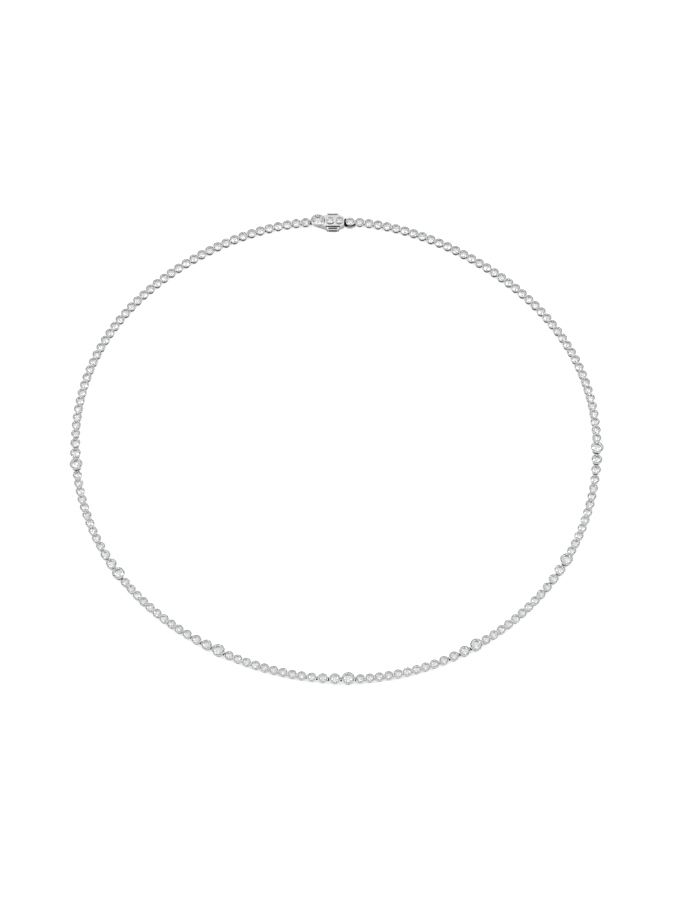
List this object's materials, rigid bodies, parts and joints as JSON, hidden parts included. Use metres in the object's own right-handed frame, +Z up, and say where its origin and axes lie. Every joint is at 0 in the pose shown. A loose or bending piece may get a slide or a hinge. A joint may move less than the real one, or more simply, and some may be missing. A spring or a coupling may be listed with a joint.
{
  "type": "riviere necklace",
  "caption": "Fastened white metal riviere necklace of round bezel-set stones in hinged collets, with spaced larger stones and a box clasp, lying in a loop.",
  "frame": {"origin": "centre of the lying loop's outline, on the surface that the links' feet rest on", "axes": "+Z up from the surface, +Y towards the clasp, +X to the right seen from the front centre stone"},
  "size_m": [0.141, 0.1438, 0.0027],
  "materials": {
    "white_gold": "polished",
    "button_metal": "polished",
    "stone": "polished facets"
  },
  "bodies": {
    "necklace": {"clasp_box": "white_gold", "clasp_tongue": "white_gold", "accent_1": "white_gold", "accent_2": "white_gold", "accent_3": "white_gold", "accent_4": "white_gold", "accent_5": "white_gold", "accent_6": "white_gold", "accent_7": "white_gold", "graduated_1": "white_gold", "graduated_2": "white_gold", "graduated_3": "white_gold", "graduated_4": "white_gold", "graduated_5": "white_gold", "graduated_6": "white_gold", "graduated_7": "white_gold", "chain_right": "white_gold", "chain_left": "white_gold", "clasp_end_stone": "stone", "clasp_stone_1": "stone", "clasp_stone_2": "stone", "tongue_stone": "stone", "accent_stone_1": "stone", "accent_stone_2": "stone", "accent_stone_3": "stone", "accent_stone_4": "stone", "accent_stone_5": "stone", "accent_stone_6": "stone", "accent_stone_7": "stone", "graduated_stones_1": "stone", "graduated_stones_2": "stone", "graduated_stones_3": "stone", "graduated_stones_4": "stone", "graduated_stones_5": "stone", "graduated_stones_6": "stone", "graduated_stones_7": "stone"},
    "outer_button": {"button_outer": "button_metal"},
    "inner_button": {"button_inner": "button_metal"}
  },
  "joints": [
    {"name": "outer_button_press", "type": "slide", "parent": "necklace", "child": "outer_button", "axis": [0, -1, 0], "range_m": [0, 0.0004], "stiffness_N_per_m": 800, "springref_m": -0.0005},
    {"name": "inner_button_press", "type": "slide", "parent": "necklace", "child": "inner_button", "axis": [0, 1, 0], "range_m": [0, 0.0004], "stiffness_N_per_m": 800, "springref_m": -0.0005}
  ]
}
